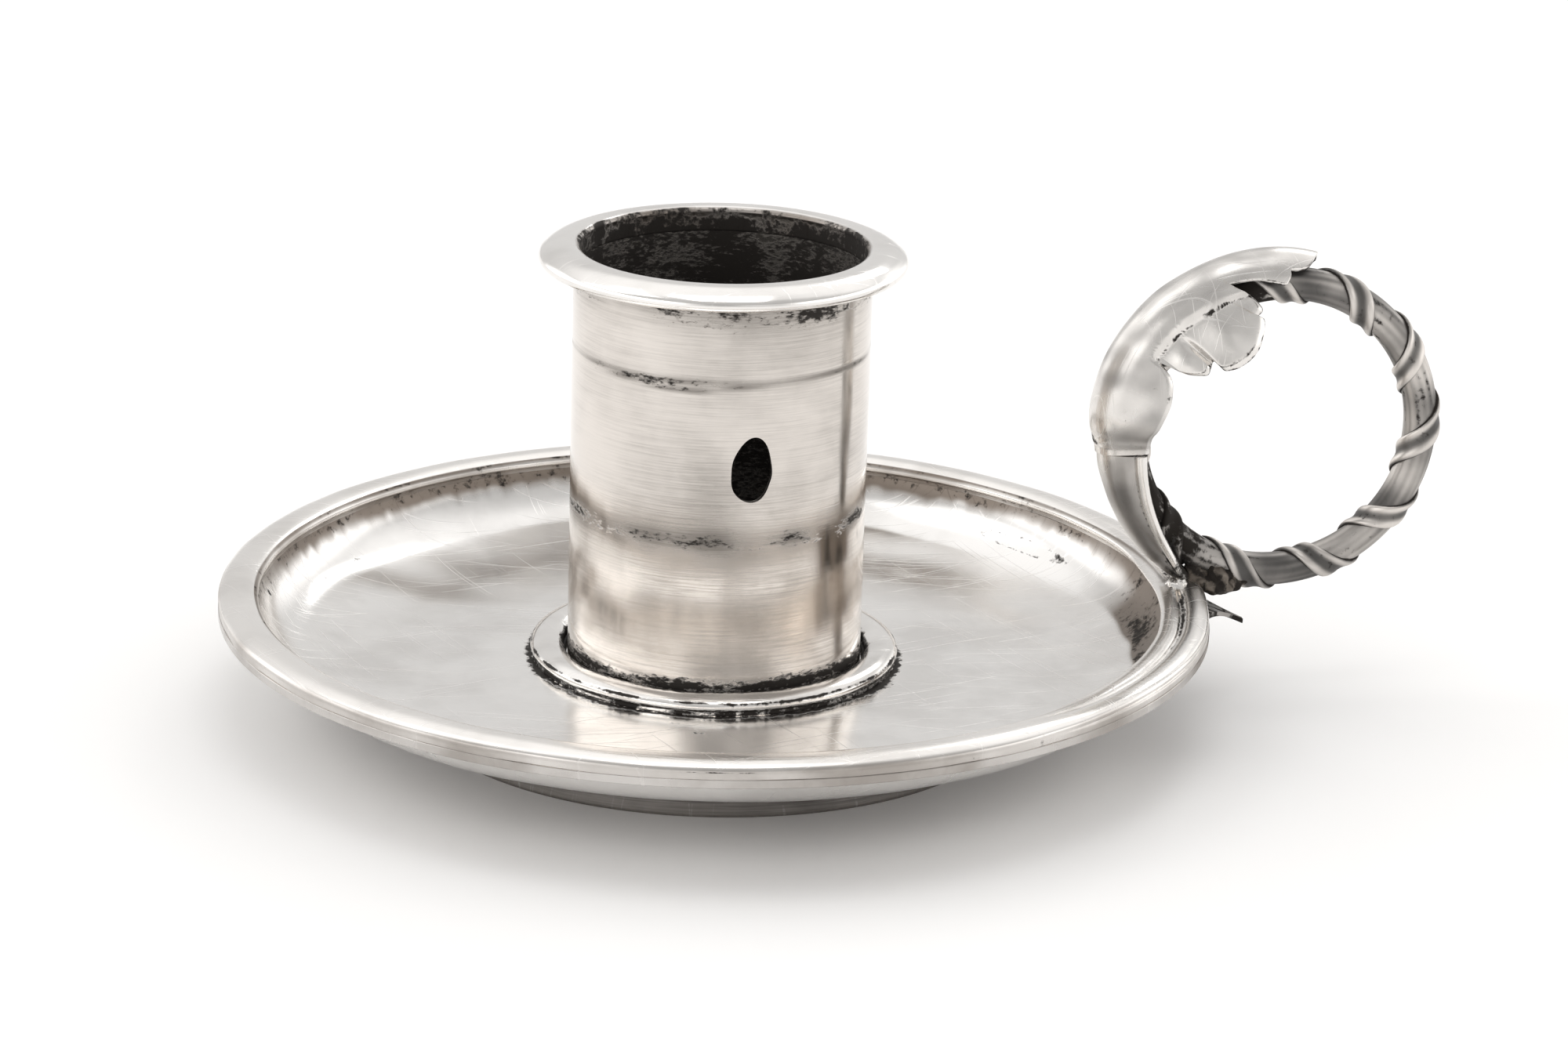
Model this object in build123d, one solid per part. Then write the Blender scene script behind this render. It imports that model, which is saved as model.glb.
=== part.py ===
from build123d import *
import math
import os

# A silver chamberstick, in millimetres. The socket's axis is Z, the foot stands on z = 0 and
# the handle points along +X, its ring in the XZ plane. These sizes drive the rest.
pan_radius = 42.2
pan_depth = 4.75
pan_sheet = 0.7
foot_radius = 25.6
foot_height = 4.3
rim_width = 3.2
rim_height = 1.4
socket_radius = 12.6
socket_wall = 0.5
socket_length = 34.2
lip_radius = 15.5
lip_height = 2.1
collar_radius = 15.65
collar_height = 1.5
ring_radius = 12.88
ring_wire = 2.9
wrap_width = 2.7
wrap_height = 0.2
leaf_sheet = 1.0

# Clearances that solder fills, and how far a cutting body runs past what it cuts.
seat_gap = 0.1
wrap_gap = 0.12
leaf_gap = 0.15
ring_seat_gap = 0.4
overrun = 1.0

# Levels and radii that several pieces share.
floor_top = foot_height + pan_sheet
flange_top = floor_top + pan_depth
flange_under = flange_top - pan_sheet
rim_top = flange_top + rim_height
rim_inner = pan_radius - rim_width
bore_radius = socket_radius - socket_wall
lip_seat = floor_top + socket_length


def turned(face):
    """Solid turned about the socket's axis from a face drawn as (radius, height)."""
    return revolve(Plane.XZ * face, Axis.Z)


def at_shares(corner, size, shares):
    """Points at shares of a width and a height, counted from a corner."""
    return [(corner[0] + u * size[0], corner[1] + v * size[1]) for u, v in shares]


# Drip pan: one raised sheet with a flat floor that rises slightly, a steep cove and a narrow flat flange.
# Rise and cove are two circles that run into each other, and the underside follows them a sheet away.
floor_share = 0.18
cove_share = 0.31
slope_share = 0.18
foot_to_rim = rim_inner - foot_radius
floor_radius = foot_radius + floor_share * foot_to_rim
cove_width = cove_share * foot_to_rim
slope_run = rim_inner - cove_width - floor_radius
slope_rise = slope_share * pan_depth
slope_turn = 2 * math.atan2(slope_rise, slope_run)
slope_bend = slope_run / math.sin(slope_turn)
chord_turn = math.atan2(pan_depth - slope_rise, cove_width)
cove_chord = math.hypot(cove_width, pan_depth - slope_rise)
cove_bend = cove_chord / (2 * math.sin(chord_turn - slope_turn))
cove_way = Vector(math.cos(slope_turn), math.sin(slope_turn))
cove_up = Vector(-math.sin(slope_turn), math.cos(slope_turn))
inside_start = Vector(floor_radius, floor_top)
inside_bend = Vector(floor_radius + slope_run, floor_top + slope_rise)
inside_end = Vector(rim_inner, flange_top)
under_start = Vector(floor_radius, foot_height)
under_bend = inside_bend - cove_up * pan_sheet
cove_centre = inside_bend + cove_up * cove_bend
under_run = math.sqrt((cove_bend + pan_sheet) ** 2 - (cove_centre.Y - flange_under) ** 2)
under_end = Vector(cove_centre.X + under_run, flange_under)
drip_pan = turned(make_face([
    Polyline(inside_start, (0, floor_top), (0, foot_height), under_start),
    TangentArc(under_start, under_bend, tangent=(1, 0)),
    TangentArc(under_bend, under_end, tangent=cove_way),
    Polyline(under_end, (pan_radius, flange_under), (pan_radius, flange_top), inside_end),
    TangentArc(inside_start, inside_bend, tangent=(1, 0)),
    TangentArc(inside_bend, inside_end, tangent=cove_way),
]))

# Rim moulding: a drawn strip on the flange, with a narrow inner bead, a flat groove and a wide roll.
rim_shares = [(0, 0.25), (0.11, 0.72), (0.22, 0.5), (0.36, 0.5), (0.64, 1), (0.92, 0.46), (1, 0.4)]
bead_in, bead_top, bead_out, roll_in, roll_top, roll_out, rim_edge = at_shares(
    (rim_inner, flange_top), (rim_width, rim_height), rim_shares
)
rim_face = make_face([
    Polyline(roll_out, rim_edge, (pan_radius, flange_top), (rim_inner, flange_top), bead_in),
    ThreePointArc(bead_in, bead_top, bead_out),
    Line(bead_out, roll_in),
    ThreePointArc(roll_in, roll_top, roll_out),
])
rim_moulding = turned(rim_face)
rim_clear = turned(offset(rim_face, seat_gap))

# Foot ring: a plain band that flares a little towards its standing edge.
foot_wall = 1.0
foot_flare = 0.5
foot_ring = turned(make_face(Polyline(
    (foot_radius, 0),
    (foot_radius - foot_flare, foot_height),
    (foot_radius - foot_flare - foot_wall, foot_height),
    (foot_radius - foot_wall, 0),
    close=True,
)))

# Socket tube: sheet bent round and soldered, with an egg-shaped hole in its front wall.
vent_width = 3.45
vent_height = 5.6
vent_rise = 20.0
vent_low_share = 0.43
vent_lean_angle = 4.0
vent_azimuth = -86.5
vent_out = Vector(1, 0, 0).rotate(Axis.Z, vent_azimuth)
vent_plane = Plane((0, 0, floor_top + vent_rise), x_dir=Vector(0, 0, 1).cross(vent_out), z_dir=vent_out)
vent_drop = vent_low_share * vent_height
vent_egg = split(Ellipse(vent_width / 2, vent_drop), Plane.XZ, keep=Keep.TOP)
vent_egg += split(Ellipse(vent_width / 2, vent_height - vent_drop), Plane.XZ, keep=Keep.BOTTOM)
vent_cut = extrude(vent_plane * Rot(0, 0, -vent_lean_angle) * vent_egg, socket_radius + overrun)
socket_tube = Pos(0, 0, floor_top) * extrude(Circle(socket_radius) - Circle(bore_radius), socket_length)
socket_tube -= vent_cut

# Socket lip: an everted ring on the tube's end, with a falling top face and a rounded nose.
lip_shares = [(0, 0.737), (0.03, 0.94), (0.12, 1), (0.55, 0.97), (0.88, 0.72), (1, 0.45), (0.9, 0.18)]
lip_bore, lip_bend, lip_crest, lip_fall, nose_top, nose, nose_under = at_shares(
    (bore_radius, lip_seat), (lip_radius - bore_radius, lip_height), lip_shares
)
socket_lip = turned(make_face([
    Polyline(nose_under, (socket_radius, lip_seat), (bore_radius, lip_seat), lip_bore),
    ThreePointArc(lip_bore, lip_bend, lip_crest),
    ThreePointArc(lip_crest, lip_fall, nose_top),
    ThreePointArc(nose_top, nose, nose_under),
]))

# Socket collar: a half-round ring on the floor, with a low fillet of solder against the tube.
collar_inner = socket_radius + seat_gap
collar_shares = [(0, 0.32), (0.14, 0.36), (0.56, 1), (1, 0.12)]
fillet_in, half_round_in, half_round_top, half_round_out = at_shares(
    (collar_inner, floor_top), (collar_radius - collar_inner, collar_height), collar_shares
)
socket_collar = turned(make_face([
    Polyline(half_round_out, (collar_radius, floor_top), (collar_inner, floor_top), fillet_in, half_round_in),
    ThreePointArc(half_round_in, half_round_top, half_round_out),
]))

# The handle's plane: its ring leans on the crest of the rim's roll and stands up and outward from it.
ring_lean = 60.0
wire_radius = ring_wire / 2
wrap_inner = wire_radius + wrap_gap
wrap_outer = wrap_inner + wrap_height
ring_stand = ring_radius + wrap_outer + ring_seat_gap
ring_reach = roll_top[0] + ring_stand * math.cos(math.radians(ring_lean))
ring_level = rim_top + ring_stand * math.sin(math.radians(ring_lean))
ring_plane = Plane((ring_reach, 0, ring_level), x_dir=(1, 0, 0), z_dir=(0, -1, 0))
ring_axis = Axis(ring_plane.origin, ring_plane.z_dir)


def on_ring(distance, angle):
    """Point of the ring's plane at a distance from its centre, the angle counted up from +X."""
    turn = math.radians(angle)
    return (distance * math.cos(turn), distance * math.sin(turn))


def wire_plane(angle):
    """Plane across the ring's wire: X points away from the ring's centre, Z along the wire."""
    x, y = on_ring(ring_radius, angle)
    outward = ring_plane.from_local_coords(Vector(x, y, 0)) - ring_plane.origin
    return Plane(
        ring_plane.origin + outward,
        x_dir=outward,
        z_dir=ring_plane.z_dir.cross(outward),
    )


# Finger ring: a round wire closed to a ring.
finger_ring = ring_plane * Torus(ring_radius, wire_radius)

# Ring wrap: one grooved ribbon wound on the wire. Its middle is at ring angle
# start - pitch * turns, and its section has a ridge along each edge.
wrap_turns = 10.6
wrap_pitch_angle = 32.6
wrap_start_angle = 232.0
wrap_steps = 16
full_turn = 360.0
wrap_shares = [(-1, 0), (-0.92, 1), (-0.66, 1), (-0.44, 0.4), (0.44, 0.4), (0.66, 1), (0.92, 1), (1, 0)]


def wrap_section(step):
    """Corners of the ribbon's section after a number of steps round the wire."""
    turns = step / wrap_steps
    plane = wire_plane(wrap_start_angle - wrap_pitch_angle * turns)
    lift = plane.x_dir.rotate(Axis((0, 0, 0), plane.z_dir), -full_turn * turns)
    return [
        plane.origin + lift * (wrap_inner + high * wrap_height) + plane.z_dir * (wide * wrap_width / 2)
        for wide, high in wrap_shares
    ]


wrap_sections = [wrap_section(step) for step in range(round(wrap_turns * wrap_steps) + 1)]
ring_wrap = loft([make_face(Polyline(*corners, close=True)) for corners in wrap_sections], ruled=True)

# The least gap from one turn of the ribbon to the next, on the two edges of its sections.
turn_gaps = [
    (a - b).length
    for i, near in enumerate(wrap_sections)
    for far in wrap_sections[i + wrap_steps // 2 :]
    for a in (near[0], near[-1])
    for b in (far[0], far[-1])
]
print("least gap of the ribbon to itself", round(min(turn_gaps), 2))


def saddle(inner, sheet, half_angle, leg, start, end):
    """Sheet bent over the ring's wire: an arch about the wire with straight legs, turned round the ring."""
    turn = math.radians(half_angle)
    radial = Vector(math.cos(turn), math.sin(turn))
    along = Vector(-math.sin(turn), math.cos(turn))
    outer = inner + sheet
    edges = [CenterArc((0, 0), radius, -half_angle, 2 * half_angle) for radius in (inner, outer)]
    side = [radial * outer, radial * outer + along * leg, radial * inner + along * leg, radial * inner]
    for flip in (1, -1):
        edges.append(Polyline(*[(point.X, flip * point.Y) for point in side]))
    return revolve(wire_plane(start) * make_face(edges), ring_axis, end - start)


def ring_sector(inner, outer, start, end):
    """Flat sector of a ring in the handle's plane."""
    return make_face([
        CenterArc((0, 0), inner, start, end - start),
        CenterArc((0, 0), outer, start, end - start),
        Line(on_ring(inner, start), on_ring(outer, start)),
        Line(on_ring(inner, end), on_ring(outer, end)),
    ])


def side_cut(face):
    """A face of the handle's plane, made thick enough to trim a saddle on both sides."""
    return ring_plane * extrude(face, leaf_outer + leaf_leg, both=True)


# Thumb leaf: thick sheet saddled over the ring's outer side, with round lobes hanging down both sides.
# Lobes and edges are placed from the ring's wire, lobes in shares of the sheet's legs. A lobe's root
# widens away from the ring's centre, along the two tangents of its circle, up to the arch. The sheet's
# bend is set off from the ring's centre, so the leaf lies close at its tip and stands off lower down.
leaf_leg = 6.0
leaf_shift = 0.85
leaf_shift_angle = 165.0
leaf_spare_angle = 8.0
leaf_arch_angle = 70.0
leaf_tip_angle = 79.5
leaf_nose_angle = 85.5
leaf_neck_angle = 113.0
leaf_foot_angle = 185.0
neck_edge_share = 0.37
nose_share = 0.52
lobe_angles = [164.0, 140.5, 118.5]
lobe_drop_shares = [0, 0.23, 0.25]
lobe_radius_shares = [0.32, 0.29, 0.49]
leaf_inner = wrap_outer + leaf_gap
leaf_outer = leaf_inner + leaf_sheet
leaf_crest = ring_radius + leaf_outer
leaf_trim = leaf_crest + leaf_shift + overrun
nose_radius = nose_share * leaf_outer
leaf_side = ring_sector(ring_radius, leaf_trim, leaf_neck_angle, leaf_foot_angle)
neck_edge = ring_radius + neck_edge_share * leaf_outer
leaf_side += ring_sector(neck_edge, leaf_trim, leaf_nose_angle, leaf_neck_angle)
leaf_side += Pos(*on_ring(leaf_crest - nose_radius, leaf_nose_angle)) * Circle(nose_radius)
for angle, drop_share, radius_share in zip(lobe_angles, lobe_drop_shares, lobe_radius_shares):
    lobe_centre = ring_radius - drop_share * leaf_leg
    lobe_radius = radius_share * leaf_leg
    lobe_half = math.degrees(math.asin(lobe_radius / lobe_centre))
    lobe_root = math.sqrt(lobe_centre**2 - lobe_radius**2)
    leaf_side += Pos(*on_ring(lobe_centre, angle)) * Circle(lobe_radius)
    leaf_side += ring_sector(lobe_root, ring_radius + seat_gap, angle - lobe_half, angle + lobe_half)
leaf_start_angle = leaf_tip_angle - leaf_spare_angle
leaf_end_angle = leaf_foot_angle + leaf_spare_angle
leaf_move = Vector(*on_ring(leaf_shift, leaf_shift_angle), 0)
leaf_offset = ring_plane.from_local_coords(leaf_move) - ring_plane.origin
leaf_bend = saddle(leaf_inner, leaf_sheet, leaf_arch_angle, leaf_leg, leaf_start_angle, leaf_end_angle)
thumb_leaf = Pos(leaf_offset) * leaf_bend & side_cut(leaf_side)

# Leaf stem: a strap of the same bend that narrows from the leaf down to its foot on the rim.
stem_middle_angle = 211.0
stem_foot_angle = 240.0
stem_edge_shares = [-0.24, 0.02, 0.78]
stem_angles = [leaf_foot_angle, stem_middle_angle, stem_foot_angle]
stem_edge = [
    on_ring(ring_radius + share * leaf_outer, angle) for share, angle in zip(stem_edge_shares, stem_angles)
]
stem_side = make_face([
    ThreePointArc(*stem_edge),
    Line(stem_edge[-1], on_ring(leaf_trim, stem_foot_angle)),
    CenterArc((0, 0), leaf_trim, leaf_foot_angle, stem_foot_angle - leaf_foot_angle),
    Line(on_ring(leaf_trim, leaf_foot_angle), stem_edge[0]),
])
leaf_stem = saddle(leaf_inner, leaf_sheet, leaf_arch_angle, leaf_leg, leaf_foot_angle, stem_foot_angle)
leaf_stem &= side_cut(stem_side)
leaf_stem -= rim_clear

# Joint solder: a lumpy bed between the ring's underside and the rim, from the stem's foot outward.
solder_depth = 0.85
solder_skirt = 0.4
solder_arch_angle = 75.0
solder_end_angle = 260.0
joint_solder = saddle(
    wrap_outer + seat_gap, solder_depth, solder_arch_angle, solder_skirt, stem_foot_angle, solder_end_angle
)
joint_solder -= rim_clear
joint_solder = split(joint_solder, Plane.XY.offset(flange_top + seat_gap), keep=Keep.TOP)

# Joint bead: a drop of solder left on the rim's inner side, in front of the stem's foot.
bead_radius = 0.9
bead_in_share = 0.2
bead_rise_share = 0.85
stem_foot_half = leaf_outer * math.sqrt(1 - stem_edge_shares[-1] ** 2)
bead_place = Pos(
    rim_inner + bead_in_share * rim_width,
    -(stem_foot_half + bead_radius + seat_gap),
    flange_top + bead_rise_share * rim_height,
)
joint_bead = bead_place * Sphere(bead_radius) - rim_clear

# Rim tab: a small pointed tongue soldered flat under the flange, its tip bent down outside the rim.
tab_half_width = 3.0
tab_length = 3.9
tab_sheet = 0.5
tab_drop = 1.5
tab_offset = 2.0
tab_tip = 0.25
tab_root_share = 0.6
tab_waist_shares = (0.4, 0.35)
tab_root = pan_radius - tab_root_share * rim_width
tab_end = pan_radius + tab_length
tab_profile = make_face(Polyline(
    (tab_root, flange_under),
    (pan_radius, flange_under),
    (tab_end, flange_under - tab_drop),
    (tab_end, flange_under - tab_drop - tab_tip),
    (pan_radius, flange_under - tab_sheet),
    (tab_root, flange_under - tab_sheet),
    close=True,
))
tab_waist = (pan_radius + tab_waist_shares[0] * tab_length, tab_waist_shares[1] * tab_half_width)
tab_side = ThreePointArc((pan_radius, tab_half_width), tab_waist, (tab_end, tab_tip))
tab_plan = make_face([
    tab_side,
    mirror(tab_side, Plane.XZ),
    Line((tab_end, tab_tip), (tab_end, -tab_tip)),
    Polyline(
        (pan_radius, tab_half_width),
        (tab_root, tab_half_width),
        (tab_root, -tab_half_width),
        (pan_radius, -tab_half_width),
    ),
])
rim_tab = extrude(Plane.XZ * tab_profile, tab_half_width, both=True) & extrude(tab_plan, flange_top)
rim_tab = Pos(0, -tab_offset, 0) * rim_tab

nodes = {
    "drip_pan": drip_pan,
    "rim_moulding": rim_moulding,
    "foot_ring": foot_ring,
    "socket_tube": socket_tube,
    "socket_lip": socket_lip,
    "socket_collar": socket_collar,
    "finger_ring": finger_ring,
    "ring_wrap": ring_wrap,
    "thumb_leaf": thumb_leaf,
    "leaf_stem": leaf_stem,
    "joint_solder": joint_solder,
    "joint_bead": joint_bead,
    "rim_tab": rim_tab,
}
os.makedirs("parts", exist_ok=True)
for name, shape in nodes.items():
    export_step(shape, f"parts/{name}.step")
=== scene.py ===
import math

import bmesh
import bpy
import numpy as np
from mathutils import Matrix


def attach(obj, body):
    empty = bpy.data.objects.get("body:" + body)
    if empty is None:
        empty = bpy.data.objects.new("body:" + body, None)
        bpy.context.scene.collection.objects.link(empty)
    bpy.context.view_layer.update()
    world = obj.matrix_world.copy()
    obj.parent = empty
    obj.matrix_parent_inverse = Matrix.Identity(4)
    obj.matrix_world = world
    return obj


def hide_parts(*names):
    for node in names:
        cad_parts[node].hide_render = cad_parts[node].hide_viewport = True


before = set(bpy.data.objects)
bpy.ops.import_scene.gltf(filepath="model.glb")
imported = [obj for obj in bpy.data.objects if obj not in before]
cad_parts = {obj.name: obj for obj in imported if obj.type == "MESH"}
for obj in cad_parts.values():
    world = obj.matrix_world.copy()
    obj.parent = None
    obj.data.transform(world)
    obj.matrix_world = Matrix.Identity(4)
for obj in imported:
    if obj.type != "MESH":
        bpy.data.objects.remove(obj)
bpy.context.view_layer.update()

# Stage: a plain pale table in a soft white studio, and the camera at the photograph's angle. The surround is
# brighter overhead, high up at the far side and low at the left and right, and dimmer high up behind the
# camera. Three soft boxes stand above the object.
MM = 0.001


def add(tree, kind, inputs=None, **settings):
    """One node of a kind, its settings made and its input sockets given numbers or other sockets."""
    node = tree.nodes.new(kind)
    for key, value in settings.items():
        setattr(node, key, value)
    for key, value in (inputs or {}).items():
        if isinstance(value, bpy.types.NodeSocket):
            tree.links.new(value, node.inputs[key])
        else:
            node.inputs[key].default_value = value
    return node


def math_of(tree, operation, *values):
    """Output of a math node on numbers or sockets."""
    return add(tree, "ShaderNodeMath", dict(enumerate(values)), operation=operation).outputs[0]


def ramp_of(tree, value, low, high, out_low=0.0, out_high=1.0):
    """A value brought smoothly from one range to another and held at its ends."""
    sockets = {"Value": value, "From Min": low, "From Max": high, "To Min": out_low, "To Max": out_high}
    return add(tree, "ShaderNodeMapRange", sockets, interpolation_type="SMOOTHSTEP").outputs["Result"]


world = bpy.data.worlds.new("studio")
bpy.context.scene.world = world
world.use_nodes = True
sky = world.node_tree
sky.nodes.clear()
sky_way = add(sky, "ShaderNodeTexCoord").outputs["Generated"]
ray = add(sky, "ShaderNodeSeparateXYZ", {0: sky_way})
overhead = ramp_of(sky, ray.outputs["Z"], 0.5, 0.72, 0.0, 0.1)
far_wall = ramp_of(sky, ray.outputs["Z"], 0.46, 0.62, 0.74, 1.02)
near_low = ramp_of(sky, ray.outputs["Z"], 0.08, 0.24, 0.7, 0.82)
near_high = ramp_of(sky, ray.outputs["Z"], 0.4, 0.52, 0.0, -0.3)
near_wall = math_of(sky, "ADD", near_low, near_high)
is_far = ramp_of(sky, ray.outputs["Y"], -0.35, 0.35)
walls = math_of(sky, "MULTIPLY_ADD", is_far, math_of(sky, "SUBTRACT", far_wall, near_wall), near_wall)
is_low = ramp_of(sky, ray.outputs["Z"], 0.42, 0.55, 1.0, 0.0)
left_side = math_of(sky, "MULTIPLY", is_low, ramp_of(sky, ray.outputs["X"], -0.4, -0.65, 0.0, 1.0))
right_side = math_of(sky, "MULTIPLY", is_low, ramp_of(sky, ray.outputs["X"], 0.45, 0.7, 0.0, 0.8))
camera_way = (-0.165, -0.935, 0.314)
camera_side = add(sky, "ShaderNodeVectorMath", {0: sky_way, 1: camera_way}, operation="DOT_PRODUCT")
shade = ramp_of(sky, camera_side.outputs["Value"], 0.965, 0.99, 0.0, -0.25)
level = walls
for change in (overhead, left_side, right_side, shade):
    level = math_of(sky, "ADD", level, change)
tint = add(sky, "ShaderNodeBackground", {"Color": (1.0, 0.99, 0.98, 1.0), "Strength": level})
add(sky, "ShaderNodeOutputWorld", {"Surface": tint.outputs[0]})

table_half = 3.0
table_mesh = bpy.data.meshes.new("table")
corners = [(-1, -1, 0), (1, -1, 0), (1, 1, 0), (-1, 1, 0)]
table_mesh.from_pydata([tuple(table_half * c for c in corner) for corner in corners], [], [(0, 1, 2, 3)])
table = bpy.data.objects.new("table", table_mesh)
bpy.context.scene.collection.objects.link(table)
table_material = bpy.data.materials.new("white_table")
table_material.use_nodes = True
table_skin = table_material.node_tree.nodes["Principled BSDF"]
table_skin.inputs["Base Color"].default_value = (0.99, 0.985, 0.98, 1.0)
table_skin.inputs["Roughness"].default_value = 0.9
table_skin.inputs["Specular IOR Level"].default_value = 0.0
table_mesh.materials.append(table_material)


def soft_box(name, place, size, power):
    """A square lamp at a place, turned towards the socket."""
    lamp = bpy.data.lights.new(name, "AREA")
    lamp.size = size
    lamp.energy = power
    lamp_object = bpy.data.objects.new(name, lamp)
    lamp_object.location = place
    towards = -lamp_object.location
    lamp_object.rotation_euler = towards.to_track_quat("-Z", "Y").to_euler()
    bpy.context.scene.collection.objects.link(lamp_object)


soft_box("left_box", (-0.45, 0.1, 0.6), 0.4, 0.35)
soft_box("back_box", (0.38, 0.66, 0.54), 0.22, 0.35)
soft_box("top_box", (0.0, -0.1, 1.0), 0.5, 1.1)

# The camera stands 0.41 m off and looks down by 18 degrees, turned 10 degrees from square to the handle.
lens = bpy.data.cameras.new("camera")
lens.sensor_width = 36.0
lens.lens = 109.94
lens.clip_start = 0.01
camera = bpy.data.objects.new("camera", lens)
camera.matrix_world = Matrix((
    (0.98601, 0.02495, -0.16487, -0.06153),
    (-0.16429, 0.31429, -0.93501, -0.38182),
    (0.02850, 0.94900, 0.31399, 0.14458),
    (0.0, 0.0, 0.0, 1.0),
))
bpy.context.scene.collection.objects.link(camera)
bpy.context.scene.camera = camera
bpy.context.scene.view_settings.view_transform = "Standard"


# Foot ring: a plain band of silver sheet, soldered under the pan. Its outside is rubbed along the band and
# dark grey, darker towards the top under the pan, black along the top, and lighter at the standing edge.
def arc(start, middle, end, count):
    """Points along the circle through three points, from the first by way of the second to the third."""
    a, b, c = (np.array(p, float) for p in (start, middle, end))
    rows = np.array([b - a, c - a])
    centre = np.linalg.solve(rows, 0.5 * np.array([b @ b - a @ a, c @ c - a @ a]))
    turns = [math.atan2(*(p - centre)[::-1]) for p in (a, b, c)]
    way = (turns[1] - turns[0]) % (2 * math.pi)
    whole = (turns[2] - turns[0]) % (2 * math.pi)
    whole = whole if way < whole else whole - 2 * math.pi
    angle = turns[0] + whole * np.linspace(0, 1, count)
    return centre + math.dist(a, centre) * np.stack([np.cos(angle), np.sin(angle)], 1)


def softened(outline, step, blur):
    """A closed outline taken at equal steps, its corners rounded by a bell-shaped running mean."""
    loop = np.vstack([outline, outline[:1]])
    run = np.concatenate([[0], np.cumsum(np.linalg.norm(np.diff(loop, axis=0), axis=1))])
    count = int(run[-1] / step)
    at = np.linspace(0, run[-1], count, endpoint=False)
    even = np.stack([np.interp(at, run, loop[:, k]) for k in range(2)], 1)
    near = np.minimum(np.arange(count), count - np.arange(count)) * step
    bell = np.exp(-0.5 * (near / blur) ** 2)
    bell /= bell.sum()
    return np.real(np.fft.ifft(np.fft.fft(even, axis=0) * np.fft.fft(bell)[:, None], axis=0))


def waves(points, length, seed):
    """Smooth unevenness, mostly between -1 and 1: a sum of eight sine waves of about one length, each along a
    direction and from a phase that the seed draws."""
    dice = np.random.default_rng(seed)
    course = dice.normal(size=(8, 3))
    course /= np.linalg.norm(course, axis=1, keepdims=True)
    course *= 2 * math.pi / (length * dice.uniform(0.7, 1.5, (8, 1)))
    return np.sin(points @ course.T + dice.uniform(0, 6.28, 8)).mean(-1) * 2.0


def piece(name, points, faces, node, slot, material, **fields):
    """A mesh object from points in millimetres, faces and fields of one number a point, riding on the frame.
    Faces are rows of an array, or lists where they have unlike numbers of corners."""
    sharp_angle = math.radians(40)
    mesh = bpy.data.meshes.new(name)
    mesh.from_pydata(points * MM, [], faces if isinstance(faces, list) else faces.tolist())
    shell = bmesh.new()
    shell.from_mesh(mesh)
    bmesh.ops.recalc_face_normals(shell, faces=shell.faces)
    shell.to_mesh(mesh)
    shell.free()
    mesh.polygons.foreach_set("use_smooth", np.ones(len(mesh.polygons), bool))
    mesh.set_sharp_from_angle(angle=sharp_angle)
    for key, values in fields.items():
        store = mesh.attributes.new(key, "FLOAT", "POINT")
        store.data.foreach_set("value", np.ravel(values).astype(np.float32))
    mesh.materials.append(material)
    made = bpy.data.objects.new(name, mesh)
    bpy.context.scene.collection.objects.link(made)
    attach(made, "root")
    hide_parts(node)


def grid_faces(rows, columns, close_rows=False, close_columns=False):
    """Quads of a grid of points counted row by row, closed round in either direction where asked."""
    i = np.arange(rows if close_rows else rows - 1)[:, None]
    j = np.arange(columns if close_columns else columns - 1)[None, :]
    below, beside = (i + 1) % rows, (j + 1) % columns
    quads = [i * columns + j, i * columns + beside, below * columns + beside, below * columns + j]
    return np.stack(np.broadcast_arrays(*quads), -1).reshape(-1, 4)


def turned(outline, count):
    """An outline of (radius, height) turned about the socket's axis: row i is outline point i, column j is
    azimuth j."""
    azimuth = np.linspace(0, 2 * math.pi, count, endpoint=False)
    radius, height = outline[:, 0, None], outline[:, 1, None]
    return np.stack([radius * np.cos(azimuth), radius * np.sin(azimuth), height + 0 * azimuth], -1)


def hump(value, centre, half_width):
    """1 at a centre, falling smoothly to nothing a few half widths away."""
    return np.exp(-(((value - centre) / half_width) ** 2))


def group(name, inputs, outputs):
    """An empty node group with float inputs of given default numbers and outputs of given kinds."""
    tree = bpy.data.node_groups.new(name, "ShaderNodeTree")
    for key, value in inputs.items():
        tree.interface.new_socket(key, in_out="INPUT", socket_type="NodeSocketFloat").default_value = value
    for key, kind in outputs.items():
        tree.interface.new_socket(key, in_out="OUTPUT", socket_type=kind)
    return tree, add(tree, "NodeGroupInput").outputs, add(tree, "NodeGroupOutput").inputs


def noise_of(tree, vector, scale, detail=4.0, roughness=0.55):
    """Value of a noise texture, about 0.5 in the mean."""
    sockets = {"Vector": vector, "Scale": scale, "Detail": detail, "Roughness": roughness}
    return add(tree, "ShaderNodeTexNoise", sockets).outputs["Fac"]


def stretched(tree, vector, scale, turn=(0.0, 0.0, 0.0)):
    """Coordinates turned and then scaled along each axis."""
    turned_first = add(tree, "ShaderNodeMapping", {"Vector": vector, "Rotation": turn}).outputs[0]
    return add(tree, "ShaderNodeMapping", {"Vector": turned_first, "Scale": scale}).outputs[0]
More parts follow.
